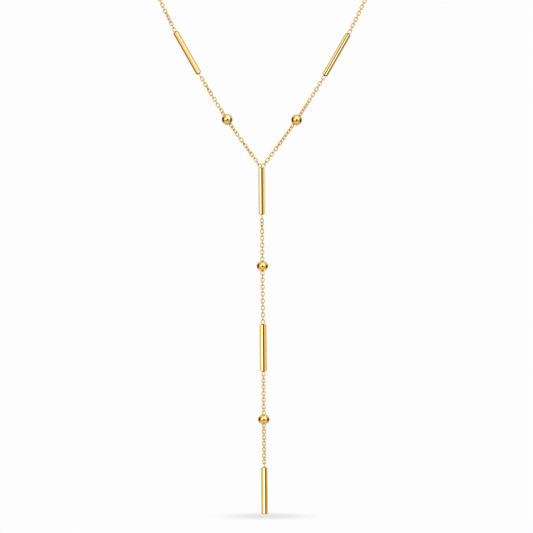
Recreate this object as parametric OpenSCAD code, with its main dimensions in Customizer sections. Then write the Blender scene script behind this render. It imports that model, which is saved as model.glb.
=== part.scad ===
// Y necklace of fine cable chain with five bars and four beads, in millimetres.
// X is to the right, Y to the back and Z up. The origin is at the nape, in the middle of the clasp.

/* [Chain] */
// Outer length of a link
link_len = 1.58; // [1.5:0.02:1.8]
// Outer width of a link
link_w = 1.1; // [1.06:0.02:1.3]
// Diameter of a link's wire
wire_d = 0.24; // [0.2:0.01:0.26]
// Clear gap that loose links keep from each other
link_gap = 0.1; // [0.1:0.01:0.12]
// Loose links above each front bar
side_links = 55; // [10:1:55]

/* [Bars] */
// Length of the three bars of the drop
drop_bar_len = 13.1; // [8:0.1:20]
// Length of the two front bars
front_bar_len = 13.4; // [8:0.1:20]
// Diameter of the first and the last bar of the drop
drop_bar_d = 1.8; // [1.5:0.1:3]
// Diameter of the middle bar of the drop
middle_bar_d = 2; // [1.5:0.1:3]
// Diameter of the two front bars
front_bar_d = 1.6; // [1.5:0.1:3]
// Radius of a bar's rounded rims
bar_rim = 0.3; // [0.1:0.05:0.35]
// Depth that a soldered end link sinks into its bar
solder_depth = 0.04; // [0.02:0.01:0.08]
// Diameter of the solder round the foot of an end link
solder_d = 0.56; // [0.4:0.02:0.7]
// Distance between the middles of the two end links that stand on the first bar's top
eyes_apart = 0.28; // [0.26:0.02:0.3]

/* [Beads] */
// Width of the drop's two flattened beads
drop_bead_w = 3.3; // [2.4:0.1:6]
// Height that they would have without the bore
drop_bead_h = 2.84; // [2:0.02:6]
// Diameter of the two front beads, which are round
front_bead_d = 3.1; // [2.4:0.1:6]
// Clear gap between the chain and the bore of a bead
bead_clear = 0.11; // [0.1:0.01:0.2]

/* [Hang] */
// Lean of the two end links on the first bar's top from the vertical, in degrees
front_lean = 40; // [35:1:50]
// Lean of the drop from the vertical, in degrees
drop_lean = 0.52; // [0:0.02:2]
// How far the V hangs to the right
front_sway = 0.27; // [0:0.01:2]
// Height over which that sway sets in above the first bar
sway_z = 26; // [10:1:60]

/* [Clasp] */
// Outer length of the clasp's loop
clasp_len = 7.6; // [6:0.1:12]
// Outer width of the clasp's loop
clasp_w = 3.8; // [3.4:0.1:6]
// Diameter of the clasp's rounded bar
clasp_bar_d = 0.9; // [0.6:0.1:1.2]
// Outer diameter of the clasp's small eye
clasp_eye_d = 1.9; // [1.7:0.1:2.4]
// Diameter of the wire of that eye
clasp_eye_wire_d = 0.4; // [0.3:0.05:0.5]

/* [Hidden] */

LEFT = -1;
RIGHT = 1;

// Points that each half of the loop passes, seen on the right, from the middle of the top bar's upper end.
// The last one is the nape.
loop_points = [
    [1.95, 0, 2.6], [4.98, 0, 6.7], [9.76, 0, 13.5], [14.84, 0, 21.5], [19.5, 0, 29.4], [24.3, 0, 37.9],
    [28.7, 0, 46.9], [38, 1, 66.5], [47, 7, 83.5], [53.5, 22, 98], [54.5, 45, 110], [46, 70, 118],
    [27, 89, 122], [0, 97, 123.5]
];
nape = loop_points[len(loop_points) - 1];

// A span is the chain between two stations: its steps from link to link, and how tight it is,
// from 0 with the links pushed together to 1 pulled taut.
STEPS = 0;
TIGHT = 1;
drop_span_1 = [14, 0.86];
drop_span_2 = [16, 0.84];
drop_span_3 = [14, 0.44];
drop_span_4 = [15, 0.01];
front_span_left_1 = [16, 0.94];
front_span_left_2 = [15, 0.71];
front_span_right_1 = [16, 0.95];
front_span_right_2 = [15, 0.57];
side_span = [side_links, 0.72];

// Where a chain is twisted: pairs of a link's place in its chain and its turn from the plain
// alternation, in degrees.
no_twist = [[0, 0]];
drop_twist_1 = [[0, 90], [4, 0]];
front_twist_left = [[3, 0], [9, 90], [10, 90], [13, 135], [18, 135], [20, 90], [24, 90], [28, 180]];
front_twist_right = [[5, 0], [9, 45], [22, 45], [24, 90]];
side_twist_left = [[2, 0], [4, 45], [6, 0]];

// Steps between two links when pushed together and when pulled taut
pitch_min = (link_len + link_gap) / 2;
pitch_max = link_len - 2 * wire_d - link_gap;

// From a bar's end to the middle of the link soldered there
eye_out = link_len / 2 - solder_depth;

// The neck's stretch of chain is one plain tube on each side
tube_sides = 8;
tube_step = 3 * link_w;
tube_gap = 2 * link_gap;

// Steps of the smooth line between two points, and half the length over which its heading is taken
curve_steps = 16;
tiny = 0.05;
bead_steps = 24;
wire_fn = 16;
ring_fn = 32;
round_fn = 48;

clasp_shift = (clasp_eye_d - clasp_eye_wire_d) / 2;
clasp_reach_left = clasp_len / 2 + clasp_shift + clasp_eye_d / 2;
clasp_reach_right = clasp_len / 2;

// The smooth line through a list of points, whose first and last point only steer it
function slope(p, i) =
    let (a = norm(p[i] - p[i - 1]), b = norm(p[i + 1] - p[i]))
    ((p[i] - p[i - 1]) * b / a + (p[i + 1] - p[i]) * a / b) / (a + b);
function bend(p, i, u) =
    let (d = norm(p[i + 1] - p[i]))
    p[i] * (2 * pow(u, 3) - 3 * pow(u, 2) + 1) + slope(p, i) * d * (pow(u, 3) - 2 * pow(u, 2) + u)
    + p[i + 1] * (3 * pow(u, 2) - 2 * pow(u, 3)) + slope(p, i + 1) * d * (pow(u, 3) - pow(u, 2));
function smooth(p) = [
    for (i = [1 : len(p) - 3]) for (j = [0 : curve_steps - 1]) bend(p, i, j / curve_steps),
    p[len(p) - 2]
];
function lengths(p) = [
    for (i = 0, s = 0; i < len(p); s = s + norm(p[min(i + 1, len(p) - 1)] - p[i]), i = i + 1) s
];
function measured(p) =
    let (s = lengths(p))
    [for (axis = [0 : 2]) [for (i = [0 : len(p) - 1]) [s[i], p[i][axis]]]];

// A line's point at a length along it, its heading there, and its whole length
function at(line, s) = [for (axis = [0 : 2]) lookup(s, line[axis])];
function heading(line, s) = at(line, s + tiny) - at(line, s - tiny);
function line_length(line) = line[0][len(line[0]) - 1][0];

// The V's sway to one side, which sets in above the first bar and dies away towards the nape
function swayed(p) = p + [front_sway * min(1, p.z / sway_z) * (1 - p.y / nape.y), 0, 0];

// Half of the loop, from the middle of its end link on the first bar. The two end links lie side by side.
function half_loop(side) =
    let (
        foot = [0, side * eyes_apart / 2, 0],
        lean = [side * sin(front_lean), 0, cos(front_lean)],
        way = [for (p = loop_points) swayed([side * p.x, p.y, p.z])],
        last = way[len(way) - 2],
        after = [-last.x, last.y, last.z]
    )
    measured(smooth(concat([foot, foot + eye_out * lean], way, [after])));
left_line = half_loop(LEFT);
right_line = half_loop(RIGHT);

function pitch(span) = pitch_min + (pitch_max - pitch_min) * span[TIGHT];
function span_len(span) = span[STEPS] * pitch(span);
function link_s(one, two, i) =
    i <= one[STEPS] ? i * pitch(one) : span_len(one) + (i - one[STEPS]) * pitch(two);
function roll(twist, i) = 90 * (i % 2) + lookup(i, twist);

// Stations down the drop, from the top of its first bar
drop_eye_1_s = drop_bar_len + eye_out;
drop_bead_1_s = drop_eye_1_s + span_len(drop_span_1);
drop_bar_2_s = drop_bead_1_s + span_len(drop_span_2) + eye_out;
drop_eye_2_s = drop_bar_2_s + drop_bar_len + eye_out;
drop_bead_2_s = drop_eye_2_s + span_len(drop_span_3);
drop_bar_3_s = drop_bead_2_s + span_len(drop_span_4) + eye_out;

// Stations up a front chain, from the middle of its end link on the first bar
function front_bar_s(one, two) = span_len(one) + span_len(two) + eye_out;
function side_s(one, two) = front_bar_s(one, two) + front_bar_len + eye_out;
function neck_s(one, two) = side_s(one, two) + span_len(side_span) + link_len / 2 + tube_gap;

module from_nape() {
    translate(-nape) children();
}

module turned(t) {
    rotate([0, acos(t.z / norm(t)), atan2(t.y, t.x)]) children();
}

module along(line, s, turn = 0) {
    translate(at(line, s)) turned(heading(line, s)) rotate(turn) children();
}

module down_drop(s) {
    from_nape() rotate([0, -drop_lean, 0]) translate([0, 0, -s]) children();
}

// A ring with two straight sides, long along Z and flat in the XZ plane
module long_ring(len, w, d) {
    r = (w - d) / 2;
    h = (len - w) / 2;
    for (turn = [0, 180]) {
        rotate([0, turn, 0]) {
            translate([0, 0, h]) rotate([90, 0, 0]) rotate_extrude(angle = 180, $fn = ring_fn)
                translate([r, 0]) circle(d = d, $fn = wire_fn);
            translate([r, 0, -h]) cylinder(d = d, h = 2 * h, $fn = wire_fn);
        }
    }
}

module link() {
    long_ring(link_len, link_w, wire_d);
}

// A link soldered to a bar's end, standing up from the end's middle
module eye(turn) {
    translate([0, 0, eye_out]) rotate(turn) link();
    sphere(d = solder_d, $fn = ring_fn);
}

// A round bar standing on the origin
module bar(d, len) {
    r = d / 2;
    rotate_extrude($fn = round_fn) {
        square([r - bar_rim, len]);
        translate([0, bar_rim]) square([r, len - 2 * bar_rim]);
        for (z = [bar_rim, len - bar_rim]) translate([r - bar_rim, z]) circle(bar_rim, $fn = ring_fn);
    }
}

// A flattened bead with a bore along Z for the chain: a drilled ellipse, turned
module drop_bead() {
    edge = acos((link_w + 2 * bead_clear) / drop_bead_w);
    rotate_extrude($fn = round_fn) polygon([
        for (i = [0 : bead_steps])
            let (a = edge * (2 * i / bead_steps - 1))
            [drop_bead_w / 2 * cos(a), drop_bead_h / 2 * sin(a)]
    ]);
}

// A ball with the same bore
module front_bead() {
    difference() {
        sphere(d = front_bead_d, $fn = round_fn);
        cylinder(d = link_w + 2 * bead_clear, h = 2 * front_bead_d, center = true, $fn = ring_fn);
    }
}

module drop_links(start_s, one, two, twist) {
    for (i = [1 : one[STEPS] + two[STEPS] - 1])
        down_drop(start_s + link_s(one, two, i)) rotate(roll(twist, i)) link();
}

module front_links(line, one, two, twist) {
    from_nape() for (i = [1 : one[STEPS] + two[STEPS] - 1])
        along(line, link_s(one, two, i), roll(twist, i)) link();
}

module front_bar(line, one, two, twist) {
    foot = at(line, front_bar_s(one, two));
    head = at(line, front_bar_s(one, two) + front_bar_len);
    from_nape() translate(foot) turned(head - foot) {
        bar(front_bar_d, front_bar_len);
        translate([0, 0, front_bar_len]) eye(0);
        mirror([0, 0, 1]) eye(roll(twist, one[STEPS] + two[STEPS]));
    }
}

module side_chain(line, one, two, twist) {
    from_nape() for (i = [1 : side_links])
        along(line, side_s(one, two) + i * pitch(side_span), roll(twist, i)) link();
}

// A plain closed tube round a line, from one length along it to another
function tube_ring(line, s) =
    let (
        t = heading(line, s) / norm(heading(line, s)),
        a = cross(t, [0, 0, 1]) / norm(cross(t, [0, 0, 1])),
        b = cross(t, a)
    )
    [for (k = [0 : tube_sides - 1])
        at(line, s) + (a * cos(360 * k / tube_sides) + b * sin(360 * k / tube_sides)) * link_w / 2];

module tube(line, s_from, s_to) {
    rings = ceil((s_to - s_from) / tube_step);
    points = [for (j = [0 : rings]) each tube_ring(line, s_from + (s_to - s_from) * j / rings)];
    sides = [
        for (j = [0 : rings - 1]) for (k = [0 : tube_sides - 1])
            let (a = j * tube_sides, b = a + tube_sides, next = (k + 1) % tube_sides)
            [a + k, b + k, b + next, a + next]
    ];
    ends = [
        [for (k = [0 : tube_sides - 1]) k],
        [for (k = [tube_sides - 1 : -1 : 0]) rings * tube_sides + k]
    ];
    polyhedron(points, concat(sides, ends));
}

module drop_bar_1() {
    color("goldenrod") {
        down_drop(drop_bar_len) {
            bar(drop_bar_d, drop_bar_len);
            mirror([0, 0, 1]) eye(roll(drop_twist_1, 0));
        }
        from_nape() for (side = [LEFT, RIGHT])
            translate([0, side * eyes_apart / 2, 0]) rotate([0, side * front_lean, 0]) eye(0);
    }
}

module drop_bar_2() {
    color("goldenrod") down_drop(drop_bar_2_s + drop_bar_len) {
        bar(middle_bar_d, drop_bar_len);
        translate([0, 0, drop_bar_len]) eye(roll(drop_twist_1, drop_span_1[STEPS] + drop_span_2[STEPS]));
        mirror([0, 0, 1]) eye(roll(no_twist, 0));
    }
}

module drop_bar_3() {
    color("goldenrod") down_drop(drop_bar_3_s + drop_bar_len) {
        bar(drop_bar_d, drop_bar_len);
        translate([0, 0, drop_bar_len]) eye(roll(no_twist, drop_span_3[STEPS] + drop_span_4[STEPS]));
    }
}

module front_bar_left() {
    color("goldenrod") front_bar(left_line, front_span_left_1, front_span_left_2, front_twist_left);
}

module front_bar_right() {
    color("goldenrod") front_bar(right_line, front_span_right_1, front_span_right_2, front_twist_right);
}

module drop_bead_1() {
    color("gold") down_drop(drop_bead_1_s) drop_bead();
}

module drop_bead_2() {
    color("gold") down_drop(drop_bead_2_s) drop_bead();
}

module front_bead_left() {
    color("gold") from_nape() along(left_line, span_len(front_span_left_1)) front_bead();
}

module front_bead_right() {
    color("gold") from_nape() along(right_line, span_len(front_span_right_1)) front_bead();
}

module drop_chain_1() {
    color("goldenrod") drop_links(drop_eye_1_s, drop_span_1, drop_span_2, drop_twist_1);
}

module drop_chain_2() {
    color("goldenrod") drop_links(drop_eye_2_s, drop_span_3, drop_span_4, no_twist);
}

module front_chain_left() {
    color("goldenrod") front_links(left_line, front_span_left_1, front_span_left_2, front_twist_left);
}

module front_chain_right() {
    color("goldenrod") front_links(right_line, front_span_right_1, front_span_right_2, front_twist_right);
}

module side_chain_left() {
    color("goldenrod") side_chain(left_line, front_span_left_1, front_span_left_2, side_twist_left);
}

module side_chain_right() {
    color("goldenrod") side_chain(right_line, front_span_right_1, front_span_right_2, no_twist);
}

module neck_chain_left() {
    color("goldenrod") from_nape() tube(left_line, neck_s(front_span_left_1, front_span_left_2),
        line_length(left_line) - clasp_reach_left - tube_gap);
}

module neck_chain_right() {
    color("goldenrod") from_nape() tube(right_line, neck_s(front_span_right_1, front_span_right_2),
        line_length(right_line) - clasp_reach_right - tube_gap);
}

module clasp() {
    color("gold") {
        rotate([0, 90, 0]) long_ring(clasp_len, clasp_w, clasp_bar_d);
        translate([-clasp_len / 2 - clasp_shift, 0, 0]) rotate_extrude($fn = ring_fn)
            translate([clasp_shift, 0]) circle(d = clasp_eye_wire_d, $fn = wire_fn);
    }
}

drop_bar_1();
drop_bar_2();
drop_bar_3();
front_bar_left();
front_bar_right();
drop_bead_1();
drop_bead_2();
front_bead_left();
front_bead_right();
drop_chain_1();
drop_chain_2();
front_chain_left();
front_chain_right();
side_chain_left();
side_chain_right();
neck_chain_left();
neck_chain_right();
clasp();
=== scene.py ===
# Looks of the y necklace: fine gold cable chain, five bars, four beads and a hidden clasp.
# Lengths are in millimetres and angles in degrees, except where a comment says metres. Meshes are in metres.
import math

import bpy
import numpy as np
from mathutils import Matrix, Vector


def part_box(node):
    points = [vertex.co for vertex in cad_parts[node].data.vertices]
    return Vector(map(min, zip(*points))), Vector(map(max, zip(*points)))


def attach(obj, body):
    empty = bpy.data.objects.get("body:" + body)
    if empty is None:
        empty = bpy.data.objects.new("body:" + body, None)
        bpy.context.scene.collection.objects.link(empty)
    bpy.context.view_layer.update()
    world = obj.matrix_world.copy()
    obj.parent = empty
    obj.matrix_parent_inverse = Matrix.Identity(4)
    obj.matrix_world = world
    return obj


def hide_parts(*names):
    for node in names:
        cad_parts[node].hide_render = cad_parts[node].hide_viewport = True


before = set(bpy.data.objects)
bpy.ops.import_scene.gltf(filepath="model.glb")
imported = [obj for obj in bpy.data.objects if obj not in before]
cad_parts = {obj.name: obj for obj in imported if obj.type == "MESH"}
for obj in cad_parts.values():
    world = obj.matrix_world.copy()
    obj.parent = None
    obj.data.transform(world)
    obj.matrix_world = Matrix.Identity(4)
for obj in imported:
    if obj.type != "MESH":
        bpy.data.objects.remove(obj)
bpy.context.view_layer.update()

MM = 0.001

# Chain
LINK_LEN = 1.58
LINK_W = 1.1
WIRE_D = 0.24
LINK_GAP = 0.1
SIDE_LINKS = 55

# Bars and beads. Solder stands round a soldered link as a dome, cut at its edge angle, with a flat skirt.
DROP_BAR_LEN = 13.1
FRONT_BAR_LEN = 13.4
DROP_BAR_D = 1.8
MIDDLE_BAR_D = 2
FRONT_BAR_D = 1.6
BAR_RIM = 0.3
SOLDER_DEPTH = 0.04
SOLDER_D = 0.56
SOLDER_SKIRT = 0.04
SOLDER_EDGE = 20
EYES_APART = 0.28
DROP_BEAD_W = 3.3
DROP_BEAD_H = 2.84
FRONT_BEAD_D = 3.1
BEAD_CLEAR = 0.11
BORE_RIM = 0.06

# The broken edge of a bore, out from the bore and up, as shares of its rim
EDGE_OUT = 0.35
EDGE_UP = 0.1

# Hang: the lean of the two end links on the first bar, of the drop, and the V's sway to the right
FRONT_LEAN = 40
DROP_LEAN = 0.52
FRONT_SWAY = 0.27
SWAY_Z = 26

# Clasp
CLASP_LEN = 7.6
CLASP_W = 3.8
CLASP_BAR_D = 0.9
CLASP_EYE_D = 1.9
CLASP_EYE_WIRE_D = 0.4
END_RING_D = 2.6
END_RING_WIRE_D = 0.4
END_RING_TURN = 45
END_RING_GAP = 0.05
LAST_LINK_GAP = 0.03

# Points that each half of the loop passes, seen on the right, from the middle of the first bar's upper end
LOOP_POINTS = [
    (1.95, 0, 2.6), (4.98, 0, 6.7), (9.76, 0, 13.5), (14.84, 0, 21.5), (19.5, 0, 29.4), (24.3, 0, 37.9),
    (28.7, 0, 46.9), (38, 1, 66.5), (47, 7, 83.5), (53.5, 22, 98), (54.5, 45, 110), (46, 70, 118),
    (27, 89, 122), (0, 97, 123.5),
]
NAPE = np.array(LOOP_POINTS[-1], float)
CURVE_STEPS = 16
TINY = 0.05

# A span of chain between two stations: its steps from link to link, and how tight it is
PITCH_MIN = (LINK_LEN + LINK_GAP) / 2
PITCH_MAX = LINK_LEN - 2 * WIRE_D - LINK_GAP
DROP_SPAN_1 = (14, 0.86)
DROP_SPAN_2 = (16, 0.84)
DROP_SPAN_3 = (14, 0.44)
DROP_SPAN_4 = (15, 0.01)
FRONT_SPANS = {"left": ((16, 0.94), (15, 0.71)), "right": ((16, 0.95), (15, 0.57))}
SIDE_SPAN = (SIDE_LINKS, 0.72)

# Where a chain is twisted: a link's place in its chain and its turn from the plain alternation, in degrees
NO_TWIST = [(0, 0)]
DROP_TWIST_1 = [(0, 90), (4, 0)]
FRONT_TWISTS = {
    "left": [(3, 0), (9, 90), (10, 90), (13, 135), (18, 135), (20, 90), (24, 90), (28, 180)],
    "right": [(5, 0), (9, 45), (22, 45), (24, 90)],
}
SIDE_TWISTS = {"left": [(2, 0), (4, 45), (6, 0)], "right": NO_TWIST}
SIGNS = {"left": -1, "right": 1}

EYE_OUT = LINK_LEN / 2 - SOLDER_DEPTH

# Fineness of the meshes
LINK_STEPS = 12
RING_STEPS = 20
CLASP_STEPS = 24
WIRE_SIDES = 12
ROUND_STEPS = 72
RIM_STEPS = 8
DOME_STEPS = 6
BAR_PARTS = 8
BEAD_STEPS = 48
BORE_PARTS = 6
ON_AXIS = 1e-6

# How far from a shape's own origin its grain may start
GRAIN_SPREAD = 50

rng = np.random.default_rng(11)

# The pieces by name, and each bar's middle in metres with its direction
PIECES = {}
BARS = {}


# Placement

def moved(x, y, z):
    return Matrix.Translation((x, y, z))


def turned_about(axis, degrees):
    return Matrix.Rotation(math.radians(degrees), 4, axis)


def aimed(direction):
    """The turn that brings Z to a direction."""
    d = Vector(direction).normalized()
    azimuth = math.degrees(math.atan2(d.y, d.x))
    tilt = math.degrees(math.acos(d.z))
    return turned_about("Z", azimuth) @ turned_about("Y", tilt)


FROM_NAPE = moved(*(-NAPE))


def down_drop(s):
    """The place s below the top of the first bar, along the drop."""
    return FROM_NAPE @ turned_about("Y", -DROP_LEAN) @ moved(0, 0, -s)


class Line:
    """The smooth line through a list of points, whose first and last point only steer it."""

    def __init__(self, points):
        p = [np.array(q, float) for q in points]
        gaps = [np.linalg.norm(b - a) for a, b in zip(p, p[1:])]
        slopes = [None] * len(p)
        for i in range(1, len(p) - 1):
            a, b = gaps[i - 1], gaps[i]
            slopes[i] = ((p[i] - p[i - 1]) * b / a + (p[i + 1] - p[i]) * a / b) / (a + b)
        way = []
        for i in range(1, len(p) - 2):
            for u in np.arange(CURVE_STEPS) / CURVE_STEPS:
                way.append(
                    p[i] * (2 * u**3 - 3 * u**2 + 1)
                    + slopes[i] * gaps[i] * (u**3 - 2 * u**2 + u)
                    + p[i + 1] * (3 * u**2 - 2 * u**3)
                    + slopes[i + 1] * gaps[i] * (u**3 - u**2)
                )
        way.append(p[-2])
        self.way = np.array(way)
        steps = np.linalg.norm(np.diff(self.way, axis=0), axis=1)
        self.s = np.concatenate([[0], np.cumsum(steps)])
        self.length = self.s[-1]

    def at(self, s):
        return np.array([np.interp(s, self.s, self.way[:, axis]) for axis in range(3)])

    def heading(self, s):
        return self.at(s + TINY) - self.at(s - TINY)

    def place(self, s, turn):
        return FROM_NAPE @ moved(*self.at(s)) @ aimed(self.heading(s)) @ turned_about("Z", turn)


def swayed(x, y, z):
    """The V's sway to one side, which sets in above the first bar and dies away towards the nape."""
    return (x + FRONT_SWAY * min(1, z / SWAY_Z) * (1 - y / NAPE[1]), y, z)


def half_loop(sign):
    """Half of the loop, from the middle of its end link on the first bar."""
    a = math.radians(FRONT_LEAN)
    foot = np.array([0, sign * EYES_APART / 2, 0])
    start = foot + EYE_OUT * np.array([sign * math.sin(a), 0, math.cos(a)])
    way = [swayed(sign * x, y, z) for x, y, z in LOOP_POINTS]
    after = (-way[-2][0], way[-2][1], way[-2][2])
    return Line([foot, start, *way, after])


LINES = {side: half_loop(sign) for side, sign in SIGNS.items()}


def pitch(span):
    return PITCH_MIN + (PITCH_MAX - PITCH_MIN) * span[1]


def span_len(span):
    return span[0] * pitch(span)


def link_s(one, two, i):
    """How far along its chain of two spans link i has its middle."""
    return i * pitch(one) if i <= one[0] else span_len(one) + (i - one[0]) * pitch(two)


def roll(twist, i):
    """The turn of link i: a quarter from link to link, and the chain's twist."""
    places, turns = zip(*twist)
    return 90 * (i % 2) + float(np.interp(i, places, turns))


# Stations down the drop from the top of its first bar, and up a front chain from its end link there
DROP_EYE_1_S = DROP_BAR_LEN + EYE_OUT
DROP_BEAD_1_S = DROP_EYE_1_S + span_len(DROP_SPAN_1)
DROP_BAR_2_S = DROP_BEAD_1_S + span_len(DROP_SPAN_2) + EYE_OUT
DROP_EYE_2_S = DROP_BAR_2_S + DROP_BAR_LEN + EYE_OUT
DROP_BEAD_2_S = DROP_EYE_2_S + span_len(DROP_SPAN_3)
DROP_BAR_3_S = DROP_BEAD_2_S + span_len(DROP_SPAN_4) + EYE_OUT


def front_bar_s(side):
    one, two = FRONT_SPANS[side]
    return span_len(one) + span_len(two) + EYE_OUT


def side_s(side):
    return front_bar_s(side) + FRONT_BAR_LEN + EYE_OUT


# Meshes: each shape is (points, faces) in millimetres round its own origin

def grid_faces(rows, columns, rows_wrap):
    faces = []
    for i in range(rows if rows_wrap else rows - 1):
        for j in range(columns):
            a, b = i * columns, (i + 1) % rows * columns
            k = (j + 1) % columns
            faces.append((a + j, b + j, b + k, a + k))
    return faces


def wire(path, flat, d, closed):
    """Round wire along a path that lies in one plane, whose normal is flat."""
    path = np.array(path, float)
    flat = np.array(flat, float)
    ahead = np.roll(path, -1, 0) - np.roll(path, 1, 0)
    if not closed:
        ahead[0] = path[1] - path[0]
        ahead[-1] = path[-1] - path[-2]
    ahead /= np.linalg.norm(ahead, axis=1)[:, None]
    across = np.cross(flat, ahead)
    turn = np.arange(WIRE_SIDES) * 2 * np.pi / WIRE_SIDES
    out = np.cos(turn)[None, :, None] * across[:, None, :] + np.sin(turn)[None, :, None] * flat
    points = (path[:, None, :] + out * d / 2).reshape(-1, 3)
    faces = grid_faces(len(path), WIRE_SIDES, closed)
    if not closed:
        faces.append(tuple(range(WIRE_SIDES)))
        last = (len(path) - 1) * WIRE_SIDES
        faces.append(tuple(last + k for k in reversed(range(WIRE_SIDES))))
    return points, faces


def arc(centre, r, start, end, steps):
    """Points (r, z) of an arc, angles in degrees from the r axis."""
    angles = np.radians(np.linspace(start, end, steps + 1))
    return [(centre[0] + r * math.cos(a), centre[1] + r * math.sin(a)) for a in angles]


def lathe(profile, loop=False):
    """A profile of (r, z) turned about Z. Where it starts and ends on the axis it closes to a point."""
    angles = np.arange(ROUND_STEPS) * 2 * np.pi / ROUND_STEPS
    points, rows = [], []
    for r, z in profile:
        if r < ON_AXIS:
            rows.append([len(points)])
            points.append((0, 0, z))
        else:
            rows.append(list(range(len(points), len(points) + ROUND_STEPS)))
            points += [(r * math.cos(a), r * math.sin(a), z) for a in angles]
    faces = []
    pairs = list(zip(rows, rows[1:])) + ([(rows[-1], rows[0])] if loop else [])
    for low, high in pairs:
        for j in range(ROUND_STEPS):
            k = (j + 1) % ROUND_STEPS
            if len(low) == 1:
                faces.append((low[0], high[k], high[j]))
            elif len(high) == 1:
                faces.append((low[j], low[k], high[0]))
            else:
                faces.append((low[j], low[k], high[k], high[j]))
    return np.array(points, float), faces


def long_ring(length, width, d, steps):
    """A ring with two straight sides, long along Z and flat in the XZ plane."""
    r, h = (width - d) / 2, (length - width) / 2
    path = []
    for sign in (1, -1):
        for a in np.linspace(0, math.pi, steps + 1):
            path.append((sign * r * math.cos(a), 0, sign * (h + r * math.sin(a))))
    return wire(path, (0, 1, 0), d, True)


def bar_shape(d, length, solder_top, solder_foot):
    """A round bar standing on the origin, with rounded rims and a dome of solder where a link joins it."""
    r = d / 2
    dome = SOLDER_D / 2
    profile = []
    if solder_foot:
        profile += arc((0, 0), dome, -90, -SOLDER_EDGE, DOME_STEPS)
        profile.append((dome + SOLDER_SKIRT, 0))
    else:
        profile.append((0, 0))
    profile += arc((r - BAR_RIM, BAR_RIM), BAR_RIM, -90, 0, RIM_STEPS)
    profile += [(r, BAR_RIM + (length - 2 * BAR_RIM) * k / BAR_PARTS) for k in range(1, BAR_PARTS)]
    profile += arc((r - BAR_RIM, length - BAR_RIM), BAR_RIM, 0, 90, RIM_STEPS)
    if solder_top:
        profile.append((dome + SOLDER_SKIRT, length))
        profile += arc((0, length), dome, SOLDER_EDGE, 90, DOME_STEPS)
    else:
        profile.append((0, length))
    profile[0] = (0, profile[0][1])
    profile[-1] = (0, profile[-1][1])
    return lathe(profile)


def bead_shape(width, height):
    """A bead with a bore along Z, whose edges are broken."""
    bore = LINK_W / 2 + BEAD_CLEAR
    top = math.degrees(math.acos(2 * (bore + BORE_RIM) / width))
    z = height / 2 * math.sin(math.radians(top))
    round_side = arc((0, 0), 1, -top, top, BEAD_STEPS)
    profile = [(r_share * width / 2, z_share * height / 2) for r_share, z_share in round_side]
    edge_r = bore + BORE_RIM * EDGE_OUT
    edge_z = z + BORE_RIM * EDGE_UP
    profile += [(edge_r, edge_z), (bore, z - BORE_RIM)]
    profile += [(bore, z * k / BORE_PARTS) for k in range(BORE_PARTS - 1, -BORE_PARTS, -1)]
    profile += [(bore, -z + BORE_RIM), (edge_r, -edge_z)]
    return lathe(profile, loop=True)


LINK = long_ring(LINK_LEN, LINK_W, WIRE_D, LINK_STEPS)


# Pieces

def placed(shape, matrix):
    points, faces = shape
    m = np.array(matrix)
    return points @ m[:3, :3].T + m[:3, 3], faces


def make_piece(node, slot, shapes, part=""):
    """One object that stands for a CAD node or a part of it, from (shape, matrix) pairs. Each shape keeps
    its own coordinates in the attribute grain and a random shade in the attribute shade."""
    points, faces, grain, shade = [], [], [], []
    count = 0
    for shape, matrix in shapes:
        here, its_faces = placed(shape, matrix)
        points.append(here)
        faces += [tuple(count + i for i in f) for f in its_faces]
        grain.append(shape[0] + rng.uniform(-GRAIN_SPREAD, GRAIN_SPREAD, 3))
        shade.append(np.full(len(here), rng.uniform(0, 1)))
        count += len(here)
    mesh = bpy.data.meshes.new(node + part)
    mesh.from_pydata((np.concatenate(points) * MM).tolist(), [], faces)
    mesh.validate()
    mesh.polygons.foreach_set("use_smooth", [True] * len(mesh.polygons))
    layer = mesh.attributes.new("grain", "FLOAT_VECTOR", "POINT")
    layer.data.foreach_set("vector", np.concatenate(grain).astype(np.float32).ravel())
    layer = mesh.attributes.new("shade", "FLOAT", "POINT")
    layer.data.foreach_set("value", np.concatenate(shade).astype(np.float32))
    mesh.materials.append(MATERIALS[slot])
    mesh.update()
    piece = bpy.data.objects.new(node + part, mesh)
    bpy.context.scene.collection.objects.link(piece)
    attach(piece, "root")
    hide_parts(node)
    PIECES[node + part] = piece


def end_links(length, top_turn, foot_turn):
    """The links that are soldered to a bar's ends, each where its turn is given."""
    found = []
    if top_turn is not None:
        found.append((LINK, moved(0, 0, length + EYE_OUT) @ turned_about("Z", top_turn)))
    if foot_turn is not None:
        found.append((LINK, moved(0, 0, -EYE_OUT) @ turned_about("Z", foot_turn)))
    return found


def make_bar(node, matrix, d, length, top_turn=None, foot_turn=None, more=()):
    """A bar and its end links, as two objects, because they are lit apart."""
    body = bar_shape(d, length, top_turn is not None, foot_turn is not None)
    make_piece(node, "bar_gold", [(body, matrix)], "_body")
    links = [(shape, matrix @ m) for shape, m in end_links(length, top_turn, foot_turn)]
    make_piece(node, "chain_gold", links + list(more), "_end_links")
    middle = matrix @ Vector((0, 0, length / 2))
    BARS[node] = (middle * MM, matrix.to_3x3() @ Vector((0, 0, 1)))


def front_end_links():
    """The two end links that stand side by side on the first bar's top, leaning apart."""
    found = []
    for sign in SIGNS.values():
        foot = FROM_NAPE @ moved(0, sign * EYES_APART / 2, 0)
        found.append((LINK, foot @ turned_about("Y", sign * FRONT_LEAN) @ moved(0, 0, EYE_OUT)))
    return found


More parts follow.
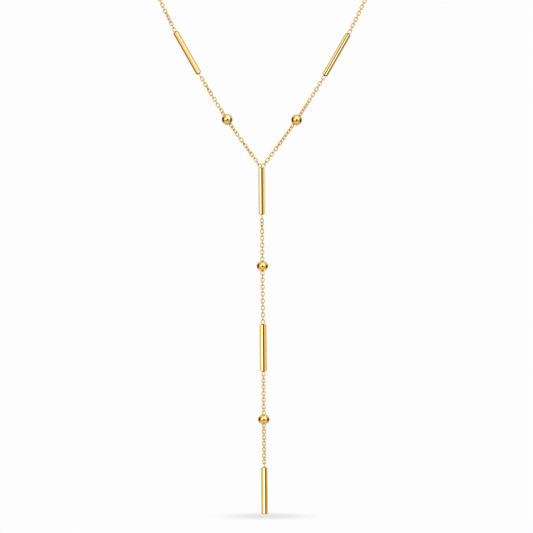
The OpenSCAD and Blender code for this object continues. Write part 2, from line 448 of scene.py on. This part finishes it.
def make_drop():
    steps_1 = DROP_SPAN_1[0] + DROP_SPAN_2[0]
    steps_2 = DROP_SPAN_3[0] + DROP_SPAN_4[0]
    make_bar("drop_bar_1", down_drop(DROP_BAR_LEN), DROP_BAR_D, DROP_BAR_LEN,
             foot_turn=roll(DROP_TWIST_1, 0), more=front_end_links())
    make_bar("drop_bar_2", down_drop(DROP_BAR_2_S + DROP_BAR_LEN), MIDDLE_BAR_D, DROP_BAR_LEN,
             top_turn=roll(DROP_TWIST_1, steps_1), foot_turn=roll(NO_TWIST, 0))
    make_bar("drop_bar_3", down_drop(DROP_BAR_3_S + DROP_BAR_LEN), DROP_BAR_D, DROP_BAR_LEN,
             top_turn=roll(NO_TWIST, steps_2))
    flat_bead = bead_shape(DROP_BEAD_W, DROP_BEAD_H)
    make_piece("drop_bead_1", "bead_gold", [(flat_bead, down_drop(DROP_BEAD_1_S))])
    make_piece("drop_bead_2", "bead_gold", [(flat_bead, down_drop(DROP_BEAD_2_S))])
    spans = (
        ("drop_chain_1", DROP_EYE_1_S, DROP_SPAN_1, DROP_SPAN_2, DROP_TWIST_1),
        ("drop_chain_2", DROP_EYE_2_S, DROP_SPAN_3, DROP_SPAN_4, NO_TWIST),
    )
    for node, start_s, one, two, twist in spans:
        links = []
        for i in range(1, one[0] + two[0]):
            place = down_drop(start_s + link_s(one, two, i))
            links.append((LINK, place @ turned_about("Z", roll(twist, i))))
        make_piece(node, "chain_gold", links)


def make_front(side):
    line = LINES[side]
    one, two = FRONT_SPANS[side]
    twist = FRONT_TWISTS[side]
    links = [(LINK, line.place(link_s(one, two, i), roll(twist, i))) for i in range(1, one[0] + two[0])]
    make_piece("front_chain_" + side, "chain_gold", links)
    ball = bead_shape(FRONT_BEAD_D, FRONT_BEAD_D)
    make_piece("front_bead_" + side, "bead_gold", [(ball, line.place(span_len(one), 0))])
    foot = line.at(front_bar_s(side))
    head = line.at(front_bar_s(side) + FRONT_BAR_LEN)
    make_bar("front_bar_" + side, FROM_NAPE @ moved(*foot) @ aimed(head - foot), FRONT_BAR_D, FRONT_BAR_LEN,
             top_turn=0, foot_turn=roll(twist, one[0] + two[0]))


def make_side(side):
    line = LINES[side]
    places = [side_s(side) + i * pitch(SIDE_SPAN) for i in range(1, SIDE_LINKS + 1)]
    links = [(LINK, line.place(s, roll(SIDE_TWISTS[side], i + 1))) for i, s in enumerate(places)]
    make_piece("side_chain_" + side, "chain_gold", links)


# The end ring hangs in the clasp's loop, and the clasp's eye stands at the loop's other end
END_RING_X = CLASP_LEN / 2 - CLASP_BAR_D - END_RING_GAP + END_RING_D / 2 - END_RING_WIRE_D
EYE_X = -(CLASP_LEN + CLASP_EYE_D - CLASP_EYE_WIRE_D) / 2


def neck_end_s(side):
    """Where the last link of a side has its middle: hooked in the clasp's eye, or in the end ring."""
    if side == "left":
        far_wire = -EYE_X + (CLASP_EYE_D - CLASP_EYE_WIRE_D) / 2
    else:
        far_wire = END_RING_X + (END_RING_D - END_RING_WIRE_D) / 2
    hooked = (LINK_LEN - WIRE_D) / 2 - (WIRE_D + END_RING_WIRE_D) / 2 - LAST_LINK_GAP
    return LINES[side].length - far_wire - hooked


def make_neck(side):
    """The chain round the back of the neck, link by link, from the last loose link to the clasp."""
    line = LINES[side]
    start = side_s(side) + span_len(SIDE_SPAN)
    count = round((neck_end_s(side) - start) / pitch(SIDE_SPAN))
    step = (neck_end_s(side) - start) / count
    links = []
    for i in range(1, count + 1):
        links.append((LINK, line.place(start + i * step, 90 * ((SIDE_LINKS + i) % 2))))
    if side == "right":
        ring = long_ring(END_RING_D, END_RING_D, END_RING_WIRE_D, RING_STEPS)
        links.append((ring, moved(END_RING_X, 0, 0) @ turned_about("X", END_RING_TURN)))
    make_piece("neck_chain_" + side, "chain_gold", links)


def make_clasp():
    loop = long_ring(CLASP_LEN, CLASP_W, CLASP_BAR_D, CLASP_STEPS)
    eye = long_ring(CLASP_EYE_D, CLASP_EYE_D, CLASP_EYE_WIRE_D, RING_STEPS)
    make_piece("clasp", "clasp_gold", [
        (loop, turned_about("Y", 90)),
        (eye, moved(EYE_X, 0, 0) @ turned_about("X", 90)),
    ])


# Materials

# Two noises in a shape's own millimetres: fine polishing lines, which each gold stretches in its own way,
# and soft waves. The range is the part of the lines' noise that the roughness follows.
LINE_DETAIL = 4
WAVE_SCALE = 0.6
WAVE_DETAIL = 1
NOISE_RANGE = (0.3, 0.7)

# Depths of the two in metres
LINE_DEPTH = 0.00002
WAVE_DEPTH = 0.0001

# The metal's deep and pale shade, the stretch of its lines, its roughness from and to, and its unevenness
GOLDS = {
    "bar_gold": ((0.91, 0.58, 0.18), (0.94, 0.62, 0.21), (9, 9, 0.8), (0.07, 0.1), 0.02),
    "bead_gold": ((0.91, 0.58, 0.18), (0.94, 0.62, 0.21), (6, 6, 6), (0.03, 0.06), 0.05),
    "chain_gold": ((0.91, 0.59, 0.15), (0.95, 0.64, 0.18), (8, 8, 8), (0.06, 0.12), 0.15),
    "clasp_gold": ((0.91, 0.58, 0.18), (0.94, 0.62, 0.21), (6, 6, 6), (0.08, 0.14), 0.15),
}


def node_tree(owner):
    owner.use_nodes = True
    tree = owner.node_tree
    tree.nodes.clear()
    return tree


def add_node(tree, kind, inputs):
    """A shader node with values set on its own sockets."""
    node = tree.nodes.new("ShaderNode" + kind)
    for socket, value in inputs.items():
        node.inputs[socket].default_value = value
    return node


def add_shade(tree, waves):
    """Half a piece's own shade and half the waves."""
    links = tree.links
    shade = add_node(tree, "Attribute", {})
    shade.attribute_name = "shade"
    half = add_node(tree, "Math", {1: 0.5})
    half.operation = "MULTIPLY"
    both = add_node(tree, "Math", {1: 0.5})
    both.operation = "MULTIPLY_ADD"
    links.new(waves.outputs["Fac"], half.inputs[0])
    links.new(shade.outputs["Fac"], both.inputs[0])
    links.new(half.outputs["Value"], both.inputs[2])
    return both


def gold(name, deep, pale, stretch, rough, bump):
    """Polished yellow gold: a slight change of shade from piece to piece, faint polishing lines and soft
    unevenness."""
    material = bpy.data.materials.new(name)
    tree = node_tree(material)
    links = tree.links
    out = add_node(tree, "OutputMaterial", {})
    shader = add_node(tree, "BsdfPrincipled", {"Metallic": 1})
    links.new(shader.outputs["BSDF"], out.inputs["Surface"])

    grain = add_node(tree, "Attribute", {})
    grain.attribute_name = "grain"
    stretched = add_node(tree, "Mapping", {"Scale": stretch})
    lines = add_node(tree, "TexNoise", {"Scale": 1, "Detail": LINE_DETAIL})
    waves = add_node(tree, "TexNoise", {"Scale": WAVE_SCALE, "Detail": WAVE_DETAIL})
    links.new(grain.outputs["Vector"], stretched.inputs["Vector"])
    links.new(stretched.outputs["Vector"], lines.inputs["Vector"])
    links.new(grain.outputs["Vector"], waves.inputs["Vector"])

    colour = add_node(tree, "Mix", {})
    colour.data_type = "RGBA"
    colour.inputs["A"].default_value = (*deep, 1)
    colour.inputs["B"].default_value = (*pale, 1)
    links.new(add_shade(tree, waves).outputs["Value"], colour.inputs["Factor"])
    links.new(colour.outputs["Result"], shader.inputs["Base Color"])

    span = {"From Min": NOISE_RANGE[0], "From Max": NOISE_RANGE[1], "To Min": rough[0], "To Max": rough[1]}
    roughness = add_node(tree, "MapRange", span)
    links.new(lines.outputs["Fac"], roughness.inputs["Value"])
    links.new(roughness.outputs["Result"], shader.inputs["Roughness"])

    fine = add_node(tree, "Bump", {"Strength": bump, "Distance": LINE_DEPTH})
    soft = add_node(tree, "Bump", {"Strength": bump, "Distance": WAVE_DEPTH})
    links.new(lines.outputs["Fac"], fine.inputs["Height"])
    links.new(waves.outputs["Fac"], soft.inputs["Height"])
    links.new(fine.outputs["Normal"], soft.inputs["Normal"])
    links.new(soft.outputs["Normal"], shader.inputs["Normal"])
    return material


MATERIALS = {name: gold(name, *finish) for name, finish in GOLDS.items()}

make_drop()
for side_name in SIGNS:
    make_front(side_name)
    make_side(side_name)
    make_neck(side_name)
make_clasp()


# Camera: level, at the height of the picture's middle, as far away as the floor's foreshortening says.
# It clips in metres.
PHOTO_PX = 533
MM_PER_PX = 0.28
DROP_TOP_PX = (261.5, 167.75)
CAMERA_DISTANCE = 900
SENSOR = 36
CLIP_START = 0.01
CLIP_END = 20


def photo_point(x_px, y_px):
    """The point of the necklace's front plane, in metres, that lies under a pixel of the photograph."""
    x = (x_px - DROP_TOP_PX[0]) * MM_PER_PX
    z = (DROP_TOP_PX[1] - y_px) * MM_PER_PX
    return (np.array([x, 0, z]) - NAPE) * MM


def make_camera():
    data = bpy.data.cameras.new("camera")
    data.sensor_width = SENSOR
    data.lens = SENSOR * CAMERA_DISTANCE / (PHOTO_PX * MM_PER_PX)
    data.clip_start = CLIP_START
    data.clip_end = CLIP_END
    camera = bpy.data.objects.new("camera", data)
    centre = photo_point(PHOTO_PX / 2, PHOTO_PX / 2)
    camera.location = centre - np.array([0, CAMERA_DISTANCE * MM, 0])
    camera.rotation_euler = (math.radians(90), 0, 0)
    bpy.context.scene.collection.objects.link(camera)
    bpy.context.scene.camera = camera


# Floor: white, a little below the lowest bar's foot, with a painted shadow: its glow is darker round a spot
# where the necklace's shadow would lie. Its half width is in metres.
PAPER = 0.982
# The painted shadow: the pixel column of its middle, its radius and how dark its middle is, as a share of
# the white
SHADOW_X_PX = 267
SHADOW_R = 19
SHADOW_DARK = 0.79
FLOOR_DROP = 0.6
FLOOR_HALF = 4


def floor_material(shadow):
    """The paper's white, with a painted shadow: darker round the shadow's middle."""
    material = bpy.data.materials.new("floor")
    tree = node_tree(material)
    links = tree.links
    place = add_node(tree, "NewGeometry", {})
    shift = add_node(tree, "VectorMath", {1: shadow})
    shift.operation = "SUBTRACT"
    far = add_node(tree, "VectorMath", {})
    far.operation = "LENGTH"
    span = {"From Max": SHADOW_R * MM, "To Min": SHADOW_DARK * PAPER, "To Max": PAPER}
    fade = add_node(tree, "MapRange", span)
    fade.interpolation_type = "SMOOTHERSTEP"
    glow = add_node(tree, "Emission", {})
    out = add_node(tree, "OutputMaterial", {})
    links.new(place.outputs["Position"], shift.inputs[0])
    links.new(shift.outputs["Vector"], far.inputs[0])
    links.new(far.outputs["Value"], fade.inputs["Value"])
    links.new(fade.outputs["Result"], glow.inputs["Color"])
    links.new(glow.outputs["Emission"], out.inputs["Surface"])
    return material


def make_floor():
    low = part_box("drop_bar_3")[0].z - FLOOR_DROP * MM
    corners = [(x * FLOOR_HALF, y * FLOOR_HALF, low) for x, y in ((-1, -1), (1, -1), (1, 1), (-1, 1))]
    mesh = bpy.data.meshes.new("floor")
    mesh.from_pydata(corners, [], [(0, 1, 2, 3)])
    # The painted shadow's middle, on the floor under that pixel column of the front plane
    x, y, _ = photo_point(SHADOW_X_PX, 0)
    mesh.materials.append(floor_material((x, y, low)))
    floor = bpy.data.objects.new("floor", mesh)
    bpy.context.scene.collection.objects.link(floor)
    floor.visible_glossy = False
    floor.visible_diffuse = False
    floor.visible_shadow = False


# Light: every group of pieces has a tent of softboxes of its own, so that its reflections are set alone.
# A softbox covers azimuths from and to, seen from the camera's side to the right, and elevations from and
# to, and has a radiance and a colour. Those of a bar go round the bar's own axis and have the same
# elevations. A softbox across the pole lies flat overhead or underneath. The distance is in metres.
LIGHT_DISTANCE = 0.9
WIDEST = 60
WARM = (1, 0.9, 0.72)
GOLDEN = (1, 0.88, 0.04)
STRAW = (1, 0.94, 0.12)
AMBER = (1, 0.78, 0.35)
PLAIN = (1, 1, 1)
COOL = (0.9, 1, 1.4)
OLIVE = (0.74, 1, 1.6)
BAR_ELEVATIONS = (-50, 50)

BAR_LIGHTS = {
    "drop_bar_1": (
        (-180, -85, 0.62, PLAIN), (-85, -62, 1.15, PLAIN), (-62, -32, 3.3, COOL), (-32, -16, 1.2, PLAIN),
        (-16, -4, 0.6, PLAIN), (-4, 40, 0.1, PLAIN), (40, 52, 0.65, WARM), (52, 70, 1.1, WARM),
        (70, 180, 0.95, PLAIN),
    ),
    "drop_bar_2": (
        (-180, -72, 0.8, PLAIN), (-72, -48, 1.3, PLAIN), (-48, -15, 3, COOL), (-15, -5, 0.5, PLAIN),
        (-5, 36, 0.08, PLAIN), (36, 48, 0.65, WARM), (48, 72, 1.15, WARM), (72, 180, 0.8, WARM),
    ),
    "drop_bar_3": (
        (-180, -65, 0.68, PLAIN), (-65, -45, 0.85, PLAIN), (-45, -28, 1.6, COOL), (-28, 4, 3.4, COOL),
        (4, 20, 0.8, PLAIN), (20, 60, 0.2, PLAIN), (60, 90, 0.45, WARM), (90, 180, 0.75, WARM),
    ),
    "front_bar_left": (
        (-180, -95, 0.45, AMBER), (-95, -74, 0.12, AMBER), (-74, -58, 0.6, AMBER), (-58, -10, 1, PLAIN),
        (-10, 10, 1.15, COOL), (10, 55, 1.5, OLIVE), (55, 75, 1.05, COOL), (75, 180, 0.68, PLAIN),
    ),
    "front_bar_right": (
        (-180, -75, 0.62, PLAIN), (-75, -48, 1.7, OLIVE), (-48, -28, 0.9, OLIVE), (-28, 5, 0.15, OLIVE),
        (5, 36, 2, OLIVE), (36, 50, 0.9, OLIVE), (50, 95, 0.25, AMBER), (95, 180, 0.6, AMBER),
    ),
}
BEAD_LIGHTS = (
    (-50, -16, -3, 30, 3, COOL), (20, 55, 12, 45, 3, COOL), (-30, 45, 40, 62, 3, COOL),
    (-16, 20, 17, 40, 1.2, COOL), (20, 60, -10, 12, 0.9, PLAIN), (-62, -50, -10, 25, 0.9, PLAIN),
    (-50, -16, 30, 40, 1.3, PLAIN), (-70, -17, -26, -10, 0.65, WARM), (17, 70, -26, -10, 0.65, WARM),
    (-80, 80, -60, -26, 0.76, WARM), (-60, 90, 62, 80, 1, WARM), (-18, 18, -26, -16, 0.3, WARM),
    (-125, -50, 32, 78, 0.72, WARM), (55, 125, 18, 78, 0.9, WARM), (-80, -64, -12, 30, 0.25, WARM),
    (62, 80, -10, 15, 0.45, WARM), (125, 235, -60, 70, 0.75, WARM), (-125, -80, -60, -26, 0.7, WARM),
    (80, 125, -60, -32, 0.7, WARM), (-30, 30, -120, -60, 0.7, WARM), (-15, 15, 75, 105, 0.8, WARM),
)
CHAIN_LIGHTS = (
    (-180, -60, -40, 60, 0.5, GOLDEN), (-60, 0, -30, 55, 1.55, STRAW), (0, 60, -30, 55, 0.4, GOLDEN),
    (60, 180, -40, 60, 0.6, GOLDEN), (-60, 60, 60, 85, 0.8, STRAW), (-90, 90, -80, -40, 0.2, GOLDEN),
)


def box_width(degrees):
    return 2 * LIGHT_DISTANCE * math.tan(math.radians(degrees) / 2)


def make_softbox(name, group, target, axes, box):
    """A softbox round an axis: axes holds the directions to the camera, to the right and up."""
    left, right, low, high, radiance, colour = box
    front, side, up = axes
    azimuth = math.radians((left + right) / 2)
    elevation = math.radians((low + high) / 2)
    level = front * math.cos(azimuth) + side * math.sin(azimuth)
    across = side * math.cos(azimuth) - front * math.sin(azimuth)
    out = level * math.cos(elevation) + up * math.sin(elevation)
    rotation = Matrix((across, out.cross(across), out)).transposed().to_4x4()
    data = bpy.data.lights.new(name, "AREA")
    data.shape = "RECTANGLE"
    at_pole = abs(low + high) == 180
    data.size = box_width(right - left) * (1 if at_pole else math.cos(elevation))
    data.size_y = box_width(high - low)
    data.color = colour
    data.energy = radiance * math.pi * data.size * data.size_y
    lamp = bpy.data.objects.new(name, data)
    lamp.matrix_world = Matrix.Translation(target + out * LIGHT_DISTANCE) @ rotation
    lamp.visible_camera = False
    lamp.light_linking.receiver_collection = group
    bpy.context.scene.collection.objects.link(lamp)


def make_tent(name, pieces, target, up, boxes):
    """The softboxes of one group of pieces, the wide ones split into flat panels side by side."""
    group = bpy.data.collections.new(name)
    for piece in pieces:
        group.objects.link(piece)
    front = (Vector((0, -1, 0)) + up * up.y).normalized()
    axes = (front, up.cross(front), up)
    for k, (left, right, low, high, radiance, colour) in enumerate(boxes):
        count = math.ceil((right - left) / WIDEST)
        step = (right - left) / count
        for j in range(count):
            box = (left + j * step, left + (j + 1) * step, low, high, radiance, colour)
            make_softbox(f"{name}_{k}_{j}", group, target, axes, box)


def make_lights():
    middle = Vector(photo_point(PHOTO_PX / 2, PHOTO_PX / 2))
    upright = Vector((0, 0, 1))
    for node, strips in BAR_LIGHTS.items():
        boxes = [(left, right, *BAR_ELEVATIONS, *glow) for left, right, *glow in strips]
        place, up = BARS[node]
        make_tent(node + "_light", [PIECES[node + "_body"]], place, up, boxes)
    beads = [piece for name, piece in PIECES.items() if "bead" in name]
    make_tent("bead_light", beads, middle, upright, BEAD_LIGHTS)
    chains = [piece for name, piece in PIECES.items() if "bead" not in name and "body" not in name]
    make_tent("chain_light", chains, middle, upright, CHAIN_LIGHTS)


# World: the paper's white for the camera, and a dim warm surround in the reflections
SURROUND = (0.04, 0.03, 0.02)


def make_world():
    world = bpy.data.worlds.new("studio")
    bpy.context.scene.world = world
    tree = node_tree(world)
    links = tree.links
    paper = add_node(tree, "Background", {"Color": (PAPER, PAPER, PAPER, 1)})
    dim = add_node(tree, "Background", {"Color": (*SURROUND, 1)})
    ray = add_node(tree, "LightPath", {})
    mix = add_node(tree, "MixShader", {})
    out = add_node(tree, "OutputWorld", {})
    links.new(ray.outputs["Is Camera Ray"], mix.inputs["Fac"])
    links.new(dim.outputs["Background"], mix.inputs[1])
    links.new(paper.outputs["Background"], mix.inputs[2])
    links.new(mix.outputs["Shader"], out.inputs["Surface"])


make_camera()
make_floor()
make_lights()
make_world()
bpy.context.scene.view_settings.view_transform = "Standard"
